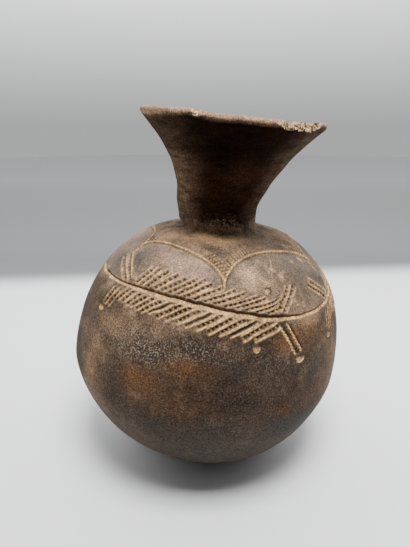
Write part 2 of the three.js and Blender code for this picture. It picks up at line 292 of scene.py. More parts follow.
def lumps(points, size, seed):
    """Smooth noise between -1 and 1 with features of a size in millimetres."""
    lattice = np.random.default_rng(SEED + seed).uniform(-1, 1, (32, 32, 32))
    scaled = points / size + 100
    cell = np.floor(scaled).astype(int)
    share = scaled - cell
    share = share * share * (3 - 2 * share)
    total = np.zeros(len(points))
    for corner in range(8):
        step = np.array((corner & 1, corner >> 1 & 1, corner >> 2))
        weight = np.prod(np.where(step, share, 1 - share), axis=1)
        index = (cell + step) % 32
        total += weight * lattice[index[:, 0], index[:, 1], index[:, 2]]
    return total


def groove_rise(turn):
    """Rise of the groove's middle at a turn: a ring with slow sways."""
    return sum(size * np.cos(np.radians(waves * (turn - crest))) for waves, size, crest in GROOVE_SWAYS)


def arch_path(number):
    """Turns and rises along an arch, from its left foot to the next arch's foot."""
    foot, foot_rise, crown, skew = ARCHES[number]
    following = ARCHES[(number + 1) % len(ARCHES)]
    next_foot = following[0] + (360 if following[0] < foot else 0)
    share = (1 - np.cos(np.linspace(0, math.pi, PATH_STEPS))) / 2
    across = 2 * share - 1
    leaned = across + skew * (1 - across * across)
    base = foot_rise + (following[1] - foot_rise) * share
    rise = base + crown * np.sqrt(np.maximum(0, 1 - leaned * leaned))
    return foot + (next_foot - foot) * share, rise


def body_marks(figure, random):
    """The slanting strokes on both sides of the groove that make a figure's body."""
    rear, fore = figure
    marks = []
    for number in range(UPPER_STROKES):
        share = number / (UPPER_STROKES - 1)
        spaced = (1 - UPPER_CROWDING) * share + UPPER_CROWDING * share * share
        turn = rear + UPPER_IN + (fore - rear - UPPER_FREE) * spaced + random.uniform(-0.4, 0.4)
        sweep = 5 + 6 * ramp(share, 0, 0.35) + 5.5 * ramp(share, 0.35, 1) + random.uniform(-0.8, 0.8)
        reach = (UPPER_REACH + random.uniform(-1.2, 1.2)) * (1 - 0.26 * ramp(share, 0.55, 0.85))
        tip = min(turn + sweep, fore + 1.5)
        reach = UPPER_START + (reach - UPPER_START) * (tip - turn) / sweep
        start = (turn, groove_rise(turn) + UPPER_START)
        gap = 4.3 - 1.5 * ramp(share, 0, 0.8)
        marks.append(("dotted", start, (tip, groove_rise(tip) + reach), gap, 0.6))
    for number in range(LOWER_STROKES):
        share = number / (LOWER_STROKES - 1)
        spaced = (1 - LOWER_CROWDING) * share + LOWER_CROWDING * share * share
        turn = rear + LOWER_IN + (fore - rear - LOWER_FREE) * spaced
        sweep = 4 + 5 * ramp(share, 0, 0.4) + 1.8 * ramp(share, 0.5, 1) + random.uniform(-0.4, 0.4)
        reach = LOWER_REACH_REAR + (LOWER_REACH_FORE - LOWER_REACH_REAR) * share + random.uniform(-0.7, 0.7)
        start = (turn, groove_rise(turn) + LOWER_START - 2.2 * ramp(share, 0.85, 1))
        tip = turn - sweep
        kind = "plain" if number % 4 == 2 and share > 0.3 else "dotted"
        polish = 0.65 + 0.35 * ramp(share, 0.45, 0.7)
        marks.append((kind, start, (tip, groove_rise(tip) + reach), 3.6 + 0.8 * share, polish))
    return marks


def leg_marks(figure):
    """The strokes of a figure's legs."""
    marks = []
    rear_leg = FRONT_REAR_LEG if figure == FRONT_FIGURE else REAR_LEG
    for hip, leg in zip(figure, (rear_leg, FORE_LEG)):
        level = groove_rise(hip)
        for kind, start, end in leg:
            first = (hip + start[0], level + start[1])
            last = (hip + end[0], level + end[1])
            marks.append((kind, first, last, LEG_GAP, LEG_POLISH))
    return marks


def toe_places(figure):
    """Turn, rise, width and height of a figure's pressed toes."""
    toes = []
    for hip, spots in zip(figure, (REAR_TOES, FORE_TOES)):
        for turn, rise, width, height in spots:
            toes.append((hip + turn, groove_rise(hip) + rise, width, height))
    return toes


def all_marks():
    """Every straight mark in the band, each with its figure's number."""
    random = np.random.default_rng(SEED)
    marks = []
    for number, figure in enumerate(FIGURES):
        for mark in body_marks(figure, random) + leg_marks(figure):
            marks.append((number, *mark))
    marks += [(*mark, 0, 0) for mark in LOOSE_MARKS]
    return marks


MARKS = all_marks()
TOES = [toe for figure in FIGURES for toe in toe_places(figure)]
PATHS = [arch_path(number) for number in range(len(ARCHES))]



def stamp_line(chart, turns, rises, edge):
    """Marks the cells of the map that a line passes."""
    column = ((wrapped(turns) + 180) / MAP_TURN).astype(int) % chart.shape[1]
    row = ((rises - BAND_LOW) / MAP_RISE).astype(int)
    inside = (row >= 0) & (row < chart.shape[0])
    np.minimum.at(chart, (row[inside], column[inside]), edge)


def spread_map(chart, steps):
    """Grows the marked cells of the map sideways and up and down."""
    for _ in range(steps):
        wide = np.minimum(np.minimum(np.roll(chart, 1, 1), np.roll(chart, -1, 1)), chart)
        tall = wide.copy()
        tall[1:] = np.minimum(tall[1:], wide[:-1])
        tall[:-1] = np.minimum(tall[:-1], wide[1:])
        chart = tall
    return chart


def edge_map():
    """A coarse map of the band with the longest edge wanted at each place."""
    rows = int((BAND_HIGH - BAND_LOW) / MAP_RISE)
    chart = np.full((rows, int(360 / MAP_TURN)), PLAIN_EDGE)
    share = np.linspace(0, 1, PATH_STEPS)
    around = share * 2 * math.pi
    for number, _, start, end, _, _ in MARKS:
        turns = start[0] + (end[0] - start[0]) * share
        rises = start[1] + (end[1] - start[1]) * share
        stamp_line(chart, turns, rises, CARVED_EDGE if number == 0 else HIDDEN_EDGE)
    for turn, rise, width, height in TOES:
        edge = CARVED_EDGE if abs(turn) < 60 else HIDDEN_EDGE
        stamp_line(chart, turn + width / 3.4 * np.cos(around), rise + height / 2 * np.sin(around), edge)
    turn, rise, _ = SCAR
    for size in SCAR_RINGS:
        stamp_line(chart, turn + size * np.cos(around), rise + 1.8 * size * np.sin(around), CARVED_EDGE)
    ring = np.linspace(-180, 180, 1440)
    front = ring[np.abs(ring) < FRONT_TURN]
    for offset in GROOVE_LINES:
        stamp_line(chart, ring, groove_rise(ring) + offset, HIDDEN_EDGE)
        stamp_line(chart, front, groove_rise(front) + offset, CARVED_EDGE)
    closer = np.linspace(0, 1, 400)
    for turns, rises in PATHS:
        fine, high = np.interp(closer, share, turns), np.interp(closer, share, rises)
        stamp_line(chart, fine, high, HIDDEN_ARCH_EDGE)
        front = np.abs(fine) < FRONT_TURN
        stamp_line(chart, fine[front], high[front], ARCH_EDGE)
        foot = np.minimum(fine - fine[0], fine[-1] - fine)
        dotted = (foot < FOOT_DOTS_WIDE) & (np.abs(fine) < FOOT_DOTS_TURN)
        for above in FOOT_DOT_LINES:
            stamp_line(chart, fine[dotted], high[dotted] + above, ARCH_EDGE)
    for foot, foot_rise, _, _ in ARCHES[:3]:
        for above in np.arange(0, FOOT_DOTS_HIGH, MAP_RISE):
            across = np.linspace(-1, 1, 40) * (2 + 0.7 * above)
            stamp_line(chart, foot + across, np.full(len(across), foot_rise + above), ARCH_EDGE)
    return spread_map(chart, 2)


EDGE_MAP = edge_map()


def wanted_edge(turn, place):
    """The longest edge wanted at places of the outline."""
    rise = place - OUTLINE.band
    wanted = np.full(len(turn), PLAIN_EDGE)
    wanted[place > OUTLINE.neck_foot] = NECK_EDGE
    wanted[np.abs(place - OUTLINE.neck_foot) < 4] = NECK_FOOT_EDGE
    wanted[(place > OUTLINE.lip_start - 6) & (place < OUTLINE.lip_end + 5)] = LIP_EDGE
    wanted[place > OUTLINE.lip_end + 30] = INSIDE_EDGE
    band = (rise > BAND_LOW + 1) & (rise < BAND_HIGH - 1)
    row = ((rise[band] - BAND_LOW) / MAP_RISE).astype(int)
    column = ((wrapped(turn[band]) + 180) / MAP_TURN).astype(int) % EDGE_MAP.shape[1]
    wanted[band] = np.minimum(wanted[band], EDGE_MAP[row, column])
    lip = (place > OUTLINE.lip_start - 5) & (place < OUTLINE.lip_end + 3)
    for middle, half, _ in CHIPS:
        wanted[lip & (np.abs(wrapped(turn - middle)) < half + 2)] = CHIP_EDGE
    return wanted


def straight_points(turn, place):
    """Corners of the straight, uncarved vessel."""
    radius, height, _, _ = OUTLINE.at(place)
    angle = np.radians(turn)
    return np.column_stack((radius * np.sin(angle), -radius * np.cos(angle), height))


def coarse_mesh():
    """Turns, places and triangles of an even net over the whole outline, closed at both poles."""
    rows = int(round(OUTLINE.end / ROW_STEP))
    heights = np.linspace(0, OUTLINE.end, rows + 1)[1:-1]
    columns = np.arange(ROUND_COLUMNS) * 360 / ROUND_COLUMNS - 180
    turn = np.append(np.tile(columns, len(heights)), (0, 0))
    place = np.append(np.repeat(heights, ROUND_COLUMNS), (0, OUTLINE.end))
    left = np.arange(ROUND_COLUMNS)
    right = (left + 1) % ROUND_COLUMNS
    triangles = []
    for row in range(len(heights) - 1):
        low = row * ROUND_COLUMNS
        high = low + ROUND_COLUMNS
        triangles.append(np.column_stack((high + right, low + left, low + right)))
        triangles.append(np.column_stack((low + left, high + right, high + left)))
    last = (len(heights) - 1) * ROUND_COLUMNS
    under, within = len(turn) - 2, len(turn) - 1
    triangles.append(np.column_stack((right, left, np.full(ROUND_COLUMNS, under))))
    triangles.append(np.column_stack((last + left, last + right, np.full(ROUND_COLUMNS, within))))
    return turn, place, np.vstack(triangles)
COARSE = coarse_mesh()
POLE_UNDER = len(COARSE[0]) - 2
POLE_WITHIN = len(COARSE[0]) - 1


def edge_numbers(triangles):
    """A number for each triangle's three edges, base edge first, and the edges' two corners."""
    pairs = np.stack((triangles[:, [0, 1]], triangles[:, [1, 2]], triangles[:, [2, 0]]), axis=1)
    pairs = np.sort(pairs.reshape(-1, 2), axis=1)
    keys = pairs[:, 0] * (triangles.max() + 1) + pairs[:, 1]
    _, first, number = np.unique(keys, return_index=True, return_inverse=True)
    return number.reshape(-1, 3), pairs[first]


def halved(turn, place, triangles):
    """One round of halving the triangles whose base edge is longer than wanted. Neighbours follow."""
    numbers, corners = edge_numbers(triangles)
    points = straight_points(turn, place)
    base = np.linalg.norm(points[triangles[:, 0]] - points[triangles[:, 1]], axis=1)
    apex = triangles[:, 2]
    middle_place = place[triangles].mean(axis=1)
    is_pole = np.isin(apex, (POLE_UNDER, POLE_WITHIN))
    middle_turn = np.where(is_pole, turn[triangles[:, 0]], turn[apex])
    cut = np.zeros(len(corners), bool)
    cut[numbers[base > wanted_edge(middle_turn, middle_place), 0]] = True
    while True:
        touched = cut[numbers].any(axis=1) & ~cut[numbers[:, 0]]
        if not touched.any():
            break
        cut[numbers[touched, 0]] = True
    if not cut.any():
        return turn, place, triangles, False
    ends = corners[cut]
    first, second = turn[ends[:, 0]], turn[ends[:, 1]]
    first = np.where(np.isin(ends[:, 0], (POLE_UNDER, POLE_WITHIN)), second, first)
    second = np.where(np.isin(ends[:, 1], (POLE_UNDER, POLE_WITHIN)), first, second)
    new = np.full(len(corners), -1)
    new[cut] = len(turn) + np.arange(cut.sum())
    turn = np.append(turn, wrapped(first + wrapped(second - first) / 2))
    place = np.append(place, place[ends].mean(axis=1))
    whole = triangles[~cut[numbers[:, 0]]]
    split, parts = triangles[cut[numbers[:, 0]]], numbers[cut[numbers[:, 0]]]
    middle = new[parts[:, 0]]
    pieces = [whole]
    sides = ((split[:, 2], split[:, 0], parts[:, 2]), (split[:, 1], split[:, 2], parts[:, 1]))
    for one, other, edge in sides:
        more = cut[edge]
        pieces.append(np.column_stack((one, other, middle))[~more])
        between = new[edge][more]
        pieces.append(np.column_stack((middle[more], one[more], between)))
        pieces.append(np.column_stack((other[more], middle[more], between)))
    return turn, place, np.vstack(pieces), True


def fine_mesh():
    """The net, halved until it is as fine as wanted everywhere."""
    turn, place, triangles = COARSE
    busy = True
    while busy:
        turn, place, triangles, busy = halved(turn, place, triangles)
    return turn, place, triangles


class Relief:
    """Places on the wall and what is pressed into or raised from it there, with pale wear and painted
    highlight on it and painted shade in its hollows.
    """

    def __init__(self, turn, place):
        self.turn = turn
        self.place = place
        self.rise = place - OUTLINE.band
        self.radius = np.maximum(OUTLINE.at(place)[0], 1)
        self.points = straight_points(turn, place)
        # The pit values paint shade into the hollows; the pale values are wear together with painted
        # highlight.
        self.cut, self.swell, self.pit, self.worn, self.panel = np.zeros((5, len(turn)))
        self.wobble = 0.22 * lumps(self.points, 3.5, 1) + 0.3 * lumps(self.points, 9, 2)
        self.vary = lumps(self.points, 6, 3)
        self.speckle = ramp(lumps(self.points, 1.7, 11), -0.15, 0.45)
        self.on_band = (self.rise > BAND_LOW) & (self.rise < BAND_HIGH)

    def near(self, start, end, reach):
        """Indices of the places within reach of a straight mark."""
        middle = (start[0] + end[0]) / 2
        half = abs(end[0] - start[0]) / 2 + reach / 1.1
        low, high = min(start[1], end[1]) - reach, max(start[1], end[1]) + reach
        inside = self.on_band & (self.rise > low) & (self.rise < high)
        return np.flatnonzero(inside & (np.abs(wrapped(self.turn - middle)) < half))

    def beside(self, index, start, end):
        """How far along a straight mark the places are, how far to its left, and its length."""
        scale = np.radians(1) * self.radius[index]
        across = wrapped(self.turn[index] - start[0]) * scale
        above = self.rise[index] - start[1]
        way_across = (end[0] - start[0]) * scale
        way_above = end[1] - start[1]
        length = np.hypot(way_across, way_above)
        along = (across * way_across + above * way_above) / length
        left = (above * way_across - across * way_above) / length
        return along, left, length

    def by_mark(self, start, end, reach):
        """The places near a hand-drawn mark, how far along and beside it they are, and its length."""
        index = self.near(start, end, reach)
        along, left, length = self.beside(index, start, end)
        return index, along, left + self.wobble[index], length

    def around(self, turn, rise, reach):
        """The places round a spot, and how far across and above it they are."""
        index = self.near((turn, rise), (turn, rise), reach)
        across = np.radians(wrapped(self.turn[index] - turn)) * self.radius[index]
        return index, across, self.rise[index] - rise

    def raise_to(self, index, **wanted):
        """Keeps the larger of what is there and new values, for each kind of relief that is named."""
        for name, values in wanted.items():
            held = getattr(self, name)
            held[index] = np.maximum(held[index], values)


def press_dotted(relief, start, end, gap, polish, random):
    """A stroke pressed with a notched edge: a channel with a row of pits, between raised sides. The pits and
    the channel get painted shade, the sides pale wear with painted highlight.
    """
    index, along, left, length = relief.by_mark(start, end, 5)
    vary = relief.vary[index]
    ends = ramp(along, -1, 0.8) * ramp(length - along, -1, 0.8)
    half = STROKE_HALF * min(1, gap / 3.8)
    channel = hump(left / half) * ends
    shift = random.uniform(-0.6, 0.6, MOST_PITS)
    strength = random.uniform(0.5, 1.25, MOST_PITS)
    first = random.uniform(0.3, PIT_PITCH)
    number = np.clip(np.round((along - first) / PIT_PITCH) + 1, 0, MOST_PITS - 1).astype(int)
    off = along - first - (number - 1) * PIT_PITCH - shift[number]
    pit = spot(off / 1.1, (left + 0.25 * off) / (0.68 * half)) * strength[number] * ends
    bead = spot((np.abs(off) - PIT_PITCH / 2) / 0.7, left / (0.8 * half)) * ends
    sides = hump((np.abs(left) - gap / 2) / (gap / 2 - 0.7 * half)) * ends
    speckled = polish + (1 - polish) * 0.7 * relief.speckle[index]
    relief.raise_to(
        index,
        cut=STROKE_DEEP * channel * 0.5 + (PIT_DEEP - STROKE_DEEP) * pit,
        pit=1.1 * pit + 0.4 * channel * (1 - 0.5 * bead),
        swell=RIDGE_HIGH * (polish + (1 - polish) * 0.5) * sides * (1 + 0.5 * vary),
        worn=np.maximum(sides * speckled * (0.9 + 0.35 * vary), 0.5 * bead),
    )


def press_plain(relief, start, end, deep, half, high):
    """A smooth stroke: a channel with raised sides. The channel gets painted shade, the sides pale wear with
    painted highlight.
    """
    index, along, left, length = relief.by_mark(start, end, 5)
    ends = ramp(along, -1, 1) * ramp(length - along, -1, 1)
    channel = hump(left / half) * ends
    sides = hump(np.abs(left) - half - 0.9) * ends
    worn = ramp(high, 0, 0.6) * sides
    relief.raise_to(index, cut=deep * channel, pit=0.65 * channel, swell=high * sides, worn=worn)


def raise_ridge(relief, start, end):
    """A pale line of clay pushed up beside the strokes of a leg."""
    index, along, left, length = relief.by_mark(start, end, 4)
    ends = ramp(along, -1, 1) * ramp(length - along, -1, 1)
    top = hump(left + 0.35 * np.sin(along * 2.4)) * ends
    relief.raise_to(index, swell=0.6 * top, worn=1.1 * top)


def scratch_wall(relief, start, end):
    """A thin pale scratch, drawn straighter than the other marks."""
    index = relief.near(start, end, 3)
    along, left, length = relief.beside(index, start, end)
    line = hump(left / 0.7) * ramp(along, 0, 3) * ramp(length - along, 0, 3)
    relief.raise_to(index, cut=0.15 * line, worn=0.35 * line)


def press_marks(relief):
    """All the straight marks of the figures and beside them."""
    random = np.random.default_rng(SEED + 1)
    for _, kind, start, end, gap, polish in MARKS:
        if kind == "dotted":
            press_dotted(relief, start, end, gap, polish, random)
        elif kind == "ridge":
            raise_ridge(relief, start, end)
        elif kind == "scratch":
            scratch_wall(relief, start, end)
        else:
            press_plain(relief, start, end, *SMOOTH_STROKES[kind])


def press_toes(relief):
    """Fingertip dents with a pale rim on their lower side."""
    for turn, rise, width, height in TOES:
        index, across, above = relief.around(turn, rise, 8)
        far = np.hypot(across / (width / 2), above / (height / 2)) + 0.25 * relief.vary[index]
        dent = 1 - ramp(far, 0.35, 1.0)
        rim = hump((far - 1.15) / 0.45) * ramp(-above, -1.5, 1)
        relief.raise_to(index, cut=0.9 * dent, swell=0.5 * rim, worn=np.maximum(0.7 * dent, rim))


def press_scar(relief):
    """A small horseshoe pressed into the panel, open to its lower left. Its ring gets painted shade."""
    turn, rise, radius = SCAR
    index, across, above = relief.around(turn, rise, 5)
    far = np.hypot(across, above)
    for held in (relief.cut, relief.swell, relief.pit, relief.worn):
        held[index] *= ramp(far, radius + 0.6, radius + 2.2)
    ring = hump((far - radius) / 1.3) * ramp(across + above, -1.6, -0.2)
    lump = hump(np.hypot(across + 1.6, above + 0.6) / radius)
    relief.raise_to(index, cut=0.7 * ring, pit=ring, swell=0.4 * lump, worn=0.75 * lump)


def press_groove(relief):
    """The groove round the jar: a steep wall with painted shade above a broad slope painted pale, as wear
    together with painted highlight.
    """
    index = np.flatnonzero(relief.on_band)
    turn, vary, speckle = relief.turn[index], relief.vary[index], relief.speckle[index]
    facing = 1 - ramp(np.abs(wrapped(turn + 4)), 20, 46)
    shaded = ramp(turn, -38, -14) * (1 - ramp(turn, 34, 52))
    width = 0.5 + 0.34 * facing
    off = (relief.rise[index] - groove_rise(turn) + 1.3 * relief.wobble[index]) / width
    level = np.interp(off, GROOVE_ACROSS, GROOVE_LEVEL) * ((0.58 + 0.42 * facing) * (1 + 0.12 * vary))
    relief.raise_to(index, cut=np.maximum(-level, 0), swell=np.maximum(level, 0))
    # The slope is painted pale: wear together with painted highlight where it catches the light.
    slope = ramp(off, -4.0, -2.6) * (1 - ramp(off, 0.2, 0.9))
    rubbed_and_lit = slope * (0.56 + 0.3 * speckle + 0.4 * vary)
    relief.worn[index] = np.maximum(relief.worn[index] * (1 - slope), rubbed_and_lit)
    relief.pit[index] *= 1 - slope
    # Painted shade on the groove's steep upper wall.
    upper = hump((off - 1.5) / 1.1) * (0.85 + 0.3 * speckle)
    relief.raise_to(index, pit=(0.1 + 0.95 * shaded) * upper)


def path_distance(relief, index, turns, rises):
    """Distance from a drawn path, positive on its outer side, and the length along it."""
    best = np.full(len(index), 1e6)
    signed = np.full(len(index), 1e6)
    travelled = np.zeros(len(index))
    passed = 0
    for step in range(len(turns) - 1):
        start, end = (turns[step], rises[step]), (turns[step + 1], rises[step + 1])
        along, left, length = relief.beside(index, start, end)
        beyond = np.maximum(np.maximum(-along, along - length), 0)
        distance = np.hypot(left, beyond)
        nearer = distance < best
        best[nearer] = distance[nearer]
        signed[nearer] = np.where(left[nearer] < 0, -distance[nearer], distance[nearer])
        travelled[nearer] = passed + along[nearer]
        passed += length.mean()
    return signed, travelled


def press_foot_dots(relief, index, out, along, share, shift):
    """Rows of dots beside an arch's feet, darkened with painted shade, with pale beads between them."""
    number = np.clip(np.round(along / FOOT_DOT_PITCH), 0, MOST_FOOT_DOTS - 1).astype(int)
    for row in FOOT_DOT_ROWS:
        off = along - number * FOOT_DOT_PITCH - shift[number] - 0.3 * row
        dot = spot(off / 0.8, (out - row) / 0.7) * share
        bead = spot((np.abs(off) - FOOT_DOT_PITCH / 2) / 0.7, (out - row) / 0.8) * share
        relief.raise_to(index, cut=0.8 * dot, pit=dot, worn=0.5 * bead)


def press_arches(relief):
    """Arches: a pale drawn line with painted shade along its inner side and the panel under it set back, and
    rows of dots beside the feet.
    """
    random = np.random.default_rng(SEED + 2)
    for turns, rises in PATHS:
        middle, half = (turns[0] + turns[-1]) / 2, (turns[-1] - turns[0]) / 2
        away = np.abs(wrapped(relief.turn - middle))
        index = np.flatnonzero(relief.on_band & (away < half + 6) & (relief.rise > -9))
        away = away[index]
        out, along = path_distance(relief, index, turns, rises)
        out = out + 0.7 * relief.wobble[index]
        above_foot = ramp(relief.rise[index], 7, 12)
        step_down = 0.4 * np.exp(-np.maximum(-out - 0.9, 0) / 5) * ramp(-out, 0, 1)
        cord = np.cos(2 * math.pi * (along + 1.2 * out) / CORD_PITCH)
        line = hump((out - 0.3) / 1.05) * (0.85 + 0.3 * cord + 0.3 * relief.vary[index])
        own_side = away < half + 0.5
        over_groove = ramp(relief.rise[index] - groove_rise(relief.turn[index]), 1, 3)
        relief.raise_to(
            index,
            cut=(0.75 * hump((out + 0.8) / 0.9) + step_down) * above_foot,
            swell=0.5 * hump((out - 0.5) / 1.1) * above_foot,
            worn=line * above_foot,
            pit=(0.45 - 0.25 * cord) * hump((out + 1.0) / 0.9) * above_foot,
            panel=ramp(-out, 0.3, 2) * own_side * over_groove,
        )
        beside_foot = (1 - ramp(np.abs(away - half), 12, 20)) * own_side
        shift = random.uniform(-0.5, 0.5, MOST_FOOT_DOTS)
        press_foot_dots(relief, index, out, along, beside_foot, shift)

def wall_height(relief):
    """How far the carved, uneven surface lies from the straight one, in millimetres."""
    height = 0.55 * lumps(relief.points, 42, 4) + 0.22 * lumps(relief.points, 15, 5)
    height += 0.07 * lumps(relief.points, 5, 6)
    carved = relief.swell * (1 - np.clip(relief.cut / 0.5, 0, 1)) - relief.cut
    return height + carved


def lip_wave(turn):
    """How far the rim rises and dips round the mouth."""
    knots = (-180, -140, -90, -60, -40, -27, -13, 0, 15, 30, 45, 60, 90, 140, 180)
    waves = (-2, -1.2, 0.7, 0, -0.4, 0.2, -2, -1.8, -1.9, -1.7, -0.8, 0, -0.5, -2, -2)
    return np.interp(wrapped(turn), knots, waves)


def broken_lip(relief, points):
    """Pushes the chipped parts of the lip back to a jagged slanting break. Returns how much is broken."""
    lip_middle = (OUTLINE.lip_start + OUTLINE.lip_end) / 2
    radius, height, _, _ = OUTLINE.at(np.array((lip_middle - 4, lip_middle + 4)))
    bite = np.zeros(len(relief.turn))
    for turn, half, depth in CHIPS:
        bite = np.maximum(bite, depth * hump(wrapped(relief.turn - turn) / (half * 1.25)) ** 0.6)
    broken = (np.abs(relief.place - lip_middle) < 16) & (bite > 0.05)
    rough = 0.75 * lumps(relief.points, 3.2, 7) + 0.45 * lumps(relief.points, 1.5, 8)
    angle = np.radians(relief.turn[broken])
    spread = np.hypot(points[broken, 0], points[broken, 1])
    inward, downward = math.cos(math.radians(BREAK_SLANT)), math.sin(math.radians(BREAK_SLANT))
    reach = (spread - radius.mean()) * inward + (points[broken, 2] - height.mean()) * downward
    limit = 2.9 - bite[broken] + rough[broken] * np.minimum(bite[broken] / 1.5, 1)
    over = np.maximum(reach - limit, 0)
    points[broken, 0] -= over * inward * np.sin(angle)
    points[broken, 1] += over * inward * np.cos(angle)
    points[broken, 2] -= over * downward
    share = np.zeros(len(relief.turn))
    share[broken] = ramp(over, 0.05, 0.5)
    return share


def posed(points):
    """Moves the straight vessel's corners to where the leaning one has them, and flattens its foot."""
    heights, shifts = np.array(WANDER_HEIGHTS), np.array(WANDER_SHIFTS)
    knot = np.searchsorted(heights, points[:, 2], side="right") - 1
    knot = np.clip(knot, 0, len(heights) - 2)
    share = ramp(points[:, 2], heights[knot], heights[knot + 1])
    across = points[:, 0] + shifts[knot] + (shifts[knot + 1] - shifts[knot]) * share
    leaned = points.copy()
    facing = np.cos(np.arctan2(points[:, 0], -points[:, 1]) - math.radians(FULL_TURN))
    swell = ramp(points[:, 2], FULL_FROM, FULL_MOST) * (1 - ramp(points[:, 2], FULL_MOST, FULL_TO))
    raised = points[:, 2] + FULLNESS * swell * np.maximum(facing, 0)
    leaned[:, 0] = across * math.cos(LEAN) + raised * math.sin(LEAN) - FOOT_MIDDLE
    leaned[:, 2] = raised * math.cos(LEAN) - across * math.sin(LEAN) - FOOT_HEIGHT
    leaned[:, 2] = np.maximum(leaned[:, 2], 0)
    return leaned


# Patches of colour on the body: turn, rise, half width and half height in millimetres, strength
PATCHES = {
    "soot": (
        (-24, -34, 26, 10, 0.75), (-37, -56, 12, 18, 0.75), (5, -38, 8, 4.5, 1), (36, -84, 38, 20, 1),
        (16, -46, 20, 9, 0.75), (22, -32, 14, 7, 0.4), (28, -62, 16, 10, 0.6), (4, -84, 30, 12, 0.7),
        (8, -108, 70, 26, 0.85), (-16, -82, 30, 12, 0.6), (44, -44, 18, 12, 0.6), (100, -60, 45, 25, 0.7),
        (52, -7, 14, 10, 0.75), (-52, -66, 14, 18, 0.35), (-46, -46, 10, 8, 0.3), (36, -16, 8, 6, 0.35),
        (-29, -31, 9, 6, 0.9),
        (160, -25, 30, 18, 0.8), (-120, -50, 36, 24, 0.7), (-160, -85, 40, 26, 0.8),
    ),
    "rust": (
        (-26, -53, 18, 9, 0.75), (-9, -42, 17, 8, 0.7), (-5, -62, 34, 11, 0.35), (27, -60, 12, 10, 0.35),
        (27, -68, 9, 4, 0.8), (30, -20, 14, 7, 0.7), (14, -50, 20, 9, 0.25), (-52, -60, 12, 16, 0.4),
        (42, -20, 12, 10, 0.4), (44, -66, 14, 9, 0.3), (120, -28, 24, 12, 0.7), (-140, -30, 20, 12, 0.6),
        (-95, -70, 26, 14, 0.5), (75, -85, 26, 14, 0.4), (195, -55, 26, 16, 0.6),
    ),
    "tan": (
        (-14, 61, 24, 7, 1.1), (-38, 54, 24, 9, 0.65), (28, 60, 22, 8, 0.3), (14, 20, 8, 5, 1.1),
        (-44, -27, 20, 9, 0.25), (-52, -72, 12, 22, 0.35), (-50, -46, 14, 9, 0.3), (-64, 24, 12, 9, 0.5),
        (60, -50, 18, 34, 0.2), (42, -8, 12, 9, 0.25), (-42, 34, 14, 5, 0.2), (24, 18, 5, 4, 0.6),
        (95, 50, 26, 10, 0.7), (-150, 50, 30, 11, 0.7), (170, 20, 18, 10, 0.6), (-100, 30, 20, 12, 0.5),
    ),
    "olive": (
        (-51, 21, 11, 11, 0.9), (-40, 46, 12, 5, 0.45), (34, 56, 22, 9, 0.6), (14, 57, 10, 6, 0.3),
        (60, 46, 18, 12, 0.9), (38, 24, 12, 8, 0.35), (62, 12, 16, 12, 0.85), (92, 32, 22, 14, 0.9),
        (-66, 32, 12, 14, 0.5),
        (-9, 48, 8, 5, 0.95), (3, 50, 8, 4, 0.45), (-66, 14, 9, 9, 0.8), (14, 38, 10, 5, 0.5),
        (45, 24, 14, 12, 0.45), (120, 40, 16, 10, 0.5), (-110, 44, 16, 10, 0.5),
    ),
    "blush": (
        (-36, 28, 14, 12, 0.7), (-18, 26, 18, 12, 1), (12, 30, 11, 12, 0.55), (30, 34, 14, 8, 0.1),
        (100, 30, 22, 14, 0.7), (150, 28, 24, 14, 0.7), (-150, 28, 24, 14, 0.7), (-100, 28, 24, 14, 0.7),
    ),
    # Painted shade: the darker lower belly, mostly on its right
    "deep": (
        (10, -60, 28, 14, 0.8), (4, -46, 11, 8, 0.5), (25, -62, 14, 12, 0.6), (150, -70, 30, 14, 0.6),
    ),
    "gritty": (
        (-30, -32, 32, 11, 1), (-8, -29, 22, 8, 0.7), (-50, -40, 20, 20, 0.6), (25, -30, 24, 12, 0.3),
        (10, -60, 40, 20, 0.15), (0, 62, 40, 6, 0.5), (110, -30, 34, 14, 0.8), (180, -34, 34, 14, 0.7),
        (-120, -30, 34, 14, 0.8), (-40, 20, 60, 30, 0.2),
    ),
}


def patches(relief, places, warp):
    """How strongly soft patches show on the body."""
    share = np.zeros(len(relief.turn))
    for turn, rise, half_width, half_height, strength in places:
        across = np.radians(wrapped(relief.turn - turn)) * relief.radius + warp[:, 0]
        above = relief.rise - rise + warp[:, 1]
        share = np.maximum(share, strength * spot(across / half_width, above / half_height))
    return share


def smoke_and_side_light(relief, warp):
    """Where the neck is blackened: all but a strip on its left and a fainter one on its right, which stand
    for painted light on the neck's lit sides. The left strip fades under the flare, as painted shade.
    """
    turn = wrapped(relief.turn) + warp[:, 0]
    left = ramp(-turn, 16, 60) * (1 - ramp(-turn, 120, 150)) * (1 - 0.65 * shade_under_flare(relief))
    right = 0.4 * ramp(turn, 26, 62) * (1 - ramp(turn, 100, 130))
    return 1 - np.maximum(left, right)


def shade_under_flare(relief):
    """Painted shade under the flare of the mouth, where the neck is made blackest."""
    return ramp(relief.place, OUTLINE.lip_start - 45, OUTLINE.lip_start - 22)


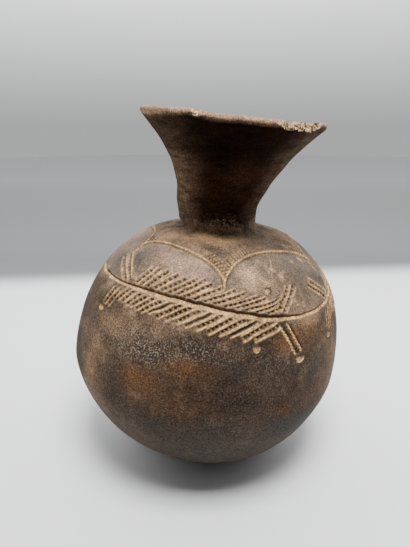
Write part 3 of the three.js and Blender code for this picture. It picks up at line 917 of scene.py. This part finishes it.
def colour_masks(relief, chipped):
    """All the masks that the clay's colours are mixed by."""
    place, lip_start, lip_end = relief.place, OUTLINE.lip_start, OUTLINE.lip_end
    outside = place < lip_start + 4
    ragged = place + 3 * lumps(relief.points, 9, 13)
    neck = ramp(ragged, OUTLINE.neck_foot + 3.5, OUTLINE.neck_foot + 15) * outside
    warp = 5 * np.column_stack((lumps(relief.points, 14, 9), lumps(relief.points, 14, 10)))
    body = (1 - neck) * outside
    below_lip = place - lip_start + 3.5 * ramp(-wrapped(relief.turn), 20, 70)
    dust_line = relief.rise + 0.5 * warp[:, 1] + 15 * hump(wrapped(relief.turn + 27) / 36)
    masks = {name: patches(relief, places, warp) * body for name, places in PATCHES.items()}
    masks |= {
        # Pale wear, with painted highlight on ridges and on the groove's slope.
        "worn": np.clip(relief.worn, 0, 1.15) * body,
        # Painted shade in pits, channels, dots and on the groove's upper wall.
        "pit": np.clip(relief.pit, 0, 1) * body,
        "panel": relief.panel * body,
        "dusty": ramp(dust_line, -14, 0) * body,
        "neck": neck,
        # The neck's front is soot-black; its sides are painted light.
        "smoke_and_side_light": smoke_and_side_light(relief, warp),
        # Painted shade under the flare of the mouth.
        "flare": shade_under_flare(relief),
        "lip": ramp(below_lip, -1, 1.2) * (1 - ramp(place, lip_end, lip_end + 6)),
        # Painted highlight along the top of the rim.
        "edge": ramp(below_lip, 1.2, 2.8) * (1 - ramp(place, lip_end, lip_end + 4)),
        "within": ramp(place, lip_end, lip_end + 12),
        "chip": chipped,
        "under": 1 - ramp(place, 25, 105),
    }
    return masks


def node(tree, kind, settings=None, **sockets):
    """A shader node with its settings, and its sockets filled or linked."""
    made = tree.nodes.new("ShaderNode" + kind)
    for name, value in (settings or {}).items():
        setattr(made, name, value)
    for name, value in sockets.items():
        socket = made.inputs[int(name[1:]) if name[1:].isdigit() else name.replace("_", " ")]
        if isinstance(value, bpy.types.NodeSocket):
            tree.links.new(value, socket)
        else:
            socket.default_value = value
    return made


def mixed(tree, share, one, other, mode="MIX"):
    """Two colours mixed by a share."""
    settings = {"data_type": "RGBA", "blend_type": mode, "clamp_factor": True}
    return node(tree, "Mix", settings, i0=share, i6=one, i7=other).outputs[2]


def maths(tree, operation, one, other=0, clamp=False):
    """One sum on one or two values."""
    settings = {"operation": operation, "use_clamp": clamp}
    return node(tree, "Math", settings, i0=one, i1=other).outputs[0]


def spread(tree, value, low, high, to_low=0, to_high=1):
    """A value moved from one range to another, and kept inside it."""
    sockets = {"i0": value, "i1": low, "i2": high, "i3": to_low, "i4": to_high}
    return node(tree, "MapRange", **sockets).outputs[0]


def noise(tree, place, scale, detail=2, roughness=0.5):
    """Noise with a scale in features to the metre."""
    sockets = {"Vector": place, "Scale": scale, "Detail": detail, "Roughness": roughness}
    return node(tree, "TexNoise", **sockets).outputs[0]


def mask(tree, name):
    """A mask that the mesh carries."""
    return node(tree, "Attribute", {"attribute_name": name}).outputs["Fac"]

def laid(tree, tone, over, name, share):
    """A colour laid over a tone by one of the mesh's masks times a share."""
    return mixed(tree, maths(tree, "MULTIPLY", mask(tree, name), share), tone, over)


# Colours: red, green, blue and opacity
CLAY_BROWN = (0.066, 0.041, 0.026, 1)
CLAY_DARK = (0.027, 0.018, 0.0125, 1)
CLAY_PALE = (0.22, 0.145, 0.09, 1)
SOOT_GREY = (0.033, 0.029, 0.024, 1)
RUST_RED = (0.12, 0.052, 0.018, 1)
RUBBED_TAN = (0.44, 0.262, 0.132, 1)
SPECK_TAN = (0.3, 0.25, 0.185, 1)
PANEL_PINK = (0.33, 0.215, 0.145, 1)
PANEL_BROWN = (0.12, 0.081, 0.053, 1)
PANEL_TAN = (0.42, 0.265, 0.155, 1)
# Pale wear, also used as painted highlight
PALE_WEAR_AND_HIGHLIGHT = (0.78, 0.46, 0.2, 1)
# Painted shade for pits and hollows
PIT_SHADE = (0.014, 0.008, 0.0045, 1)
NECK_BLACK = (0.0035, 0.0018, 0.0012, 1)
NECK_RED = (0.023, 0.0098, 0.0048, 1)
# Painted light on the lit sides of the neck
NECK_SIDE_LIGHT = (0.155, 0.103, 0.063, 1)
LIP_BROWN = (0.1, 0.062, 0.038, 1)
# Painted highlight where the rim's rounding catches the light
LIP_HIGHLIGHT_TAN = (0.32, 0.205, 0.13, 1)
BROKEN_CLAY = (0.55, 0.37, 0.22, 1)
INSIDE_CLAY = (0.04, 0.026, 0.018, 1)
UNDER_GREY = (0.022, 0.0195, 0.017, 1)
# Painted shade for the darker lower belly
SHADE_BROWN = (0.012, 0.0085, 0.0065, 1)

# Scales of the clay's patterns, in features to the metre
BROAD_SCALE, PATCHY_SCALE, BARE_SCALE, WIPED_SCALE = 22, 75, 95, 260
STIPPLE_SCALE, SPECK_SCALE, FINE_SCALE, MOTTLE_SCALE, GRIT_SCALE = 520, 420, 1000, 260, 900
BUMP_GRIT_SCALE, BUMP_POCK_SCALE, BUMP_WIPE_SCALE = 700, 330, 500


def shoulder_colour(tree, place, patchy, tone):
    """The lighter shoulder, with the smooth panels under the arches."""
    tone = laid(tree, tone, CLAY_PALE, "dusty", spread(tree, patchy, 0.38, 0.6, 0.1, 0.95))
    tone = laid(tree, tone, RUBBED_TAN, "tan", spread(tree, patchy, 0.3, 0.55, 0.5, 1.1))
    panel = mixed(tree, mask(tree, "blush"), PANEL_BROWN, PANEL_PINK)
    bare = spread(tree, noise(tree, place, BARE_SCALE, 3, 0.6), 0.58, 0.66, 0, 0.8)
    scuffed = maths(tree, "MULTIPLY", mask(tree, "tan"), spread(tree, patchy, 0.4, 0.58, 0.2, 1.2))
    panel = mixed(tree, maths(tree, "MAXIMUM", bare, scuffed, True), panel, PANEL_TAN)
    return laid(tree, tone, panel, "panel", spread(tree, patchy, 0.35, 0.6, 0.45, 0.95))


def wiped_noise(tree, place, sideways, scale, *shape):
    """Noise drawn out sideways, like the marks of wiping."""
    stretched = node(tree, "Mapping", Vector=place, Scale=(sideways, sideways, 1))
    return noise(tree, stretched.outputs[0], scale, *shape)


def neck_colour(tree, place, broad):
    """The smoked neck: nearly black with dark red in front and painted shade under the flare, brown at its
    sides as painted light, wiped sideways.
    """
    wiped = wiped_noise(tree, place, 0.25, WIPED_SCALE, 3, 0.65)
    front = mixed(tree, spread(tree, broad, 0.42, 0.62), NECK_BLACK, NECK_RED)
    front = mixed(tree, spread(tree, wiped, 0.46, 0.66, 0, 0.8), front, NECK_RED)
    # Painted shade under the flare.
    front = laid(tree, front, NECK_BLACK, "flare", 0.75)
    # Painted light on the lit sides of the neck.
    side = mixed(tree, spread(tree, wiped, 0.3, 0.65, 0.25, 1), NECK_RED, NECK_SIDE_LIGHT)
    return mixed(tree, mask(tree, "smoke_and_side_light"), side, front)


def clay_colour(tree, place):
    """The colour of the fired and smoked clay, with painted shade and painted light laid in, before the fine
    grain.
    """
    broad = noise(tree, place, BROAD_SCALE, 3, 0.6)
    patchy = noise(tree, place, PATCHY_SCALE, 4, 0.65)
    ragged = spread(tree, patchy, 0.3, 0.6, 0.5, 1.15)
    tone = mixed(tree, spread(tree, broad, 0.35, 0.65), CLAY_DARK, CLAY_BROWN)
    tone = mixed(tree, spread(tree, patchy, 0.52, 0.74, 0, 0.45), tone, CLAY_PALE)
    tone = laid(tree, tone, SOOT_GREY, "soot", ragged)
    tone = laid(tree, tone, RUST_RED, "rust", ragged)
    tone = shoulder_colour(tree, place, patchy, tone)
    tone = laid(tree, tone, SOOT_GREY, "olive", ragged)
    tone = laid(tree, tone, UNDER_GREY, "under", 0.85)
    # Painted shade on the lower belly, mostly on its right.
    tone = laid(tree, tone, SHADE_BROWN, "deep", ragged)
    neck = mask(tree, "neck")
    stipple = spread(tree, noise(tree, place, STIPPLE_SCALE, 2, 0.7), 0.3, 0.7, -0.7, 0.7)
    smoked = spread(tree, maths(tree, "ADD", neck, stipple), 0.3, 0.7)
    smoked = maths(tree, "MINIMUM", smoked, spread(tree, neck, 0, 0.15))
    smoked = maths(tree, "MAXIMUM", smoked, spread(tree, neck, 0.8, 1))
    tone = mixed(tree, smoked, tone, neck_colour(tree, place, broad))
    tone = mixed(tree, mask(tree, "within"), tone, INSIDE_CLAY)
    tone = laid(tree, tone, LIP_BROWN, "lip", spread(tree, patchy, 0.3, 0.6, 0.3, 1))
    # Painted highlight along the top of the rim.
    return laid(tree, tone, LIP_HIGHLIGHT_TAN, "edge", spread(tree, patchy, 0.3, 0.55, 0.55, 1))


def carved_colour(tree, place, tone):
    """Pale ridges of wear with painted highlight, pits darkened with painted shade, and the broken lip, over
    the clay.
    """
    speck = noise(tree, place, SPECK_SCALE, 2, 0.6)
    # Pale wear together with painted highlight.
    tone = laid(tree, tone, PALE_WEAR_AND_HIGHLIGHT, "worn", spread(tree, speck, 0.3, 0.6, 0.4, 1))
    # Painted shade in pits and hollows.
    tone = laid(tree, tone, PIT_SHADE, "pit", 0.82)
    broken = mixed(tree, spread(tree, speck, 0.42, 0.58), CLAY_BROWN, BROKEN_CLAY)
    return laid(tree, tone, broken, "chip", 0.95)


def grained(tree, place, tone):
    """Salt-and-pepper grit, pale specks and soft mottling over a colour."""
    fine = noise(tree, place, FINE_SCALE, 2, 0.8)
    mottle = noise(tree, place, MOTTLE_SCALE, 3, 0.6)
    tone = mixed(tree, 1, tone, spread(tree, fine, 0.36, 0.64, 0.4, 1.7), "MULTIPLY")
    tone = mixed(tree, 1, tone, spread(tree, mottle, 0.32, 0.68, 0.82, 1.18), "MULTIPLY")
    specks = spread(tree, noise(tree, place, GRIT_SCALE, 1, 0.6), 0.54, 0.63)
    body = spread(tree, mask(tree, "gritty"), 0, 1, 0.06, 0.75)
    bare = maths(tree, "SUBTRACT", 1, maths(tree, "ADD", mask(tree, "neck"), mask(tree, "within")), True)
    share = maths(tree, "MULTIPLY", maths(tree, "MULTIPLY", specks, body), bare)
    return mixed(tree, share, tone, SPECK_TAN)


def clay_bump(tree, place):
    """Grit, shallow pocks and wiping marks as a fine bump."""
    grit = noise(tree, place, BUMP_GRIT_SCALE, 3, 0.65)
    pocks = spread(tree, noise(tree, place, BUMP_POCK_SCALE, 1, 0.5), 0.3, 0.42)
    wiped = wiped_noise(tree, place, 0.12, BUMP_WIPE_SCALE, 2, 0.6)
    height = maths(tree, "ADD", maths(tree, "MULTIPLY", grit, 0.9), maths(tree, "MULTIPLY", pocks, 0.25))
    height = maths(tree, "ADD", height, maths(tree, "MULTIPLY", wiped, 0.35))
    smooth = spread(tree, mask(tree, "panel"), 0, 1, 0.00045, 0.0002)
    return node(tree, "Bump", Strength=1, Distance=smooth, Height=height).outputs[0]


def emptied_tree(owner):
    """The node tree of a material or a world, with nothing in it."""
    owner.use_nodes = True
    owner.node_tree.nodes.clear()
    return owner.node_tree


def surfaced(tree, **sockets):
    """Ends a material's tree in its shader."""
    shader = node(tree, "BsdfPrincipled", **sockets)
    node(tree, "OutputMaterial", Surface=shader.outputs[0])


def placed(name, data, location=(0, 0, 0)):
    """A new object in the scene."""
    made = bpy.data.objects.new(name, data)
    made.location = location
    bpy.context.scene.collection.objects.link(made)
    return made


def terracotta():
    """The jar's one material: unglazed smoked clay."""
    material = bpy.data.materials.new("terracotta")
    tree = emptied_tree(material)
    place = node(tree, "TexCoord").outputs["Object"]
    tone = grained(tree, place, carved_colour(tree, place, clay_colour(tree, place)))
    rough = spread(tree, mask(tree, "panel"), 0, 1, 0.75, 0.58)
    gloss = spread(tree, mask(tree, "panel"), 0, 1, 0.1, 0.15)
    gloss = maths(tree, "MULTIPLY", gloss, spread(tree, mask(tree, "neck"), 0, 1, 1, 0.1))
    bump = clay_bump(tree, place)
    surfaced(tree, Base_Color=tone, Roughness=rough, Normal=bump, Specular_IOR_Level=gloss)
    return material


def build_jar():
    """The carved jar as one mesh with its masks and its clay."""
    turn, place, triangles = fine_mesh()
    relief = Relief(turn, place)
    for press in (press_marks, press_toes, press_arches, press_scar, press_groove):
        press(relief)
    _, _, out_radius, out_height = OUTLINE.at(place)
    angle = np.radians(turn)
    outward = np.column_stack((out_radius * np.sin(angle), -out_radius * np.cos(angle), out_height))
    points = relief.points + outward * wall_height(relief)[:, None]
    near_lip = ramp(place, OUTLINE.neck_foot + 40, OUTLINE.lip_start)
    near_lip *= 1 - ramp(place, OUTLINE.lip_end, OUTLINE.lip_end + 50)
    points[:, 2] += near_lip * lip_wave(turn)
    points[:, :2] *= 1 + LIP_SPREAD * near_lip[:, None] ** 2
    chipped = broken_lip(relief, points)
    mesh = bpy.data.meshes.new("jar_vessel")
    mesh.from_pydata((posed(points) * MM).tolist(), [], triangles.tolist())
    for name, values in colour_masks(relief, chipped).items():
        mesh.attributes.new(name, "FLOAT", "POINT").data.foreach_set("value", values.astype(np.float32))
    mesh.polygons.foreach_set("use_smooth", np.ones(len(triangles), bool))
    mesh.materials.append(terracotta())
    mesh.update()
    return placed("jar_vessel", mesh)


# The stage, in metres: the floor's pale part ends behind the jar, between the near and the far distance
FLOOR_RADIUS = 4
FLOOR_DROP = 0.0002
FLOOR_NEAR = 0.36
FLOOR_FAR = 0.465
FLOOR_TILT = 0.1
FLOOR_PALE = (0.84, 0.85, 0.87, 1)
FLOOR_GREY = (0.178, 0.181, 0.186, 1)
FLOOR_DISTANT = (0.88, 0.89, 0.9, 1)
TENT_WHITE = (0.98, 0.99, 1, 1)

# Lamps: name, place, width and depth in metres, power in watts
LAMPS = (("overhead", (0.08, -0.3, 1.15), 0.5, 0.4, 25), ("strip", (0, 0.33, 0.46), 3, 0.1, 11))

# The photograph's camera: its place, how far it looks down in degrees, its lens and sensor in millimetres
CAMERA_PLACE = (-0.01471, -0.338, 0.2542)
CAMERA_TILT = 18.48
CAMERA_LENS, CAMERA_SENSOR = 19.305, 24


def build_floor():
    """A wide pale floor that turns grey behind the jar."""
    steps = np.linspace(0, 2 * math.pi, 128, endpoint=False)
    corners = [(FLOOR_RADIUS * math.cos(step), FLOOR_RADIUS * math.sin(step), -FLOOR_DROP) for step in steps]
    mesh = bpy.data.meshes.new("floor")
    mesh.from_pydata(corners, [], [tuple(range(len(corners)))])
    material = bpy.data.materials.new("floor_paper")
    tree = emptied_tree(material)
    place = node(tree, "TexCoord").outputs["Object"]
    ways = node(tree, "SeparateXYZ", Vector=place)
    far = ways.outputs[1]
    edge = maths(tree, "SUBTRACT", far, maths(tree, "MULTIPLY", ways.outputs[0], FLOOR_TILT))
    settings = {"interpolation_type": "SMOOTHSTEP"}
    share = node(tree, "MapRange", settings, i0=edge, i1=FLOOR_NEAR, i2=FLOOR_FAR)
    grey = mixed(tree, spread(tree, far, 0.5, 1.9), FLOOR_GREY, FLOOR_DISTANT)
    surfaced(tree, Base_Color=mixed(tree, share.outputs[0], FLOOR_PALE, grey), Roughness=0.6)
    mesh.materials.append(material)
    placed("floor", mesh)


def hang_lamp(name, location, wide, deep, power):
    """An even lamp that shines straight down."""
    lamp = bpy.data.lights.new(name, "AREA")
    lamp.shape = "RECTANGLE"
    lamp.size = wide
    lamp.size_y = deep
    lamp.energy = power
    placed(name, lamp, location)


def build_light():
    """A pale tent of light that is darker in front, a soft lamp overhead and a long one behind the jar."""
    world = bpy.data.worlds.new("tent")
    bpy.context.scene.world = world
    tree = emptied_tree(world)
    way = node(tree, "TexCoord").outputs["Generated"]
    parts = node(tree, "SeparateXYZ", Vector=way)
    up = maths(tree, "MAXIMUM", parts.outputs[2], 0)
    steep = maths(tree, "MULTIPLY", maths(tree, "MULTIPLY", up, up), 14)
    gentle = maths(tree, "ADD", maths(tree, "MULTIPLY", up, 1.6), 0.48)
    upward = maths(tree, "MINIMUM", maths(tree, "ADD", gentle, steep), 1.6)
    ceiling = spread(tree, up, 0.26, 0.5, 1, 0.35)
    front = spread(tree, parts.outputs[1], -0.5, 0.3, 0.06, 1)
    bright = maths(tree, "MULTIPLY", maths(tree, "MULTIPLY", upward, front), ceiling)
    background = node(tree, "Background", Color=TENT_WHITE, Strength=bright)
    node(tree, "OutputWorld", Surface=background.outputs[0])
    for lamp in LAMPS:
        hang_lamp(*lamp)


def build_camera():
    """The photograph's place and angle."""
    camera = bpy.data.cameras.new("camera")
    camera.sensor_fit = "VERTICAL"
    camera.sensor_height = CAMERA_SENSOR
    camera.lens = CAMERA_LENS
    camera.dof.use_dof = False
    holder = placed("camera", camera, CAMERA_PLACE)
    holder.rotation_euler = (math.radians(90 - CAMERA_TILT), 0, 0)
    bpy.context.scene.camera = holder


vessel = build_jar()
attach(vessel, "root")
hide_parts("jar")
build_floor()
build_light()
build_camera()
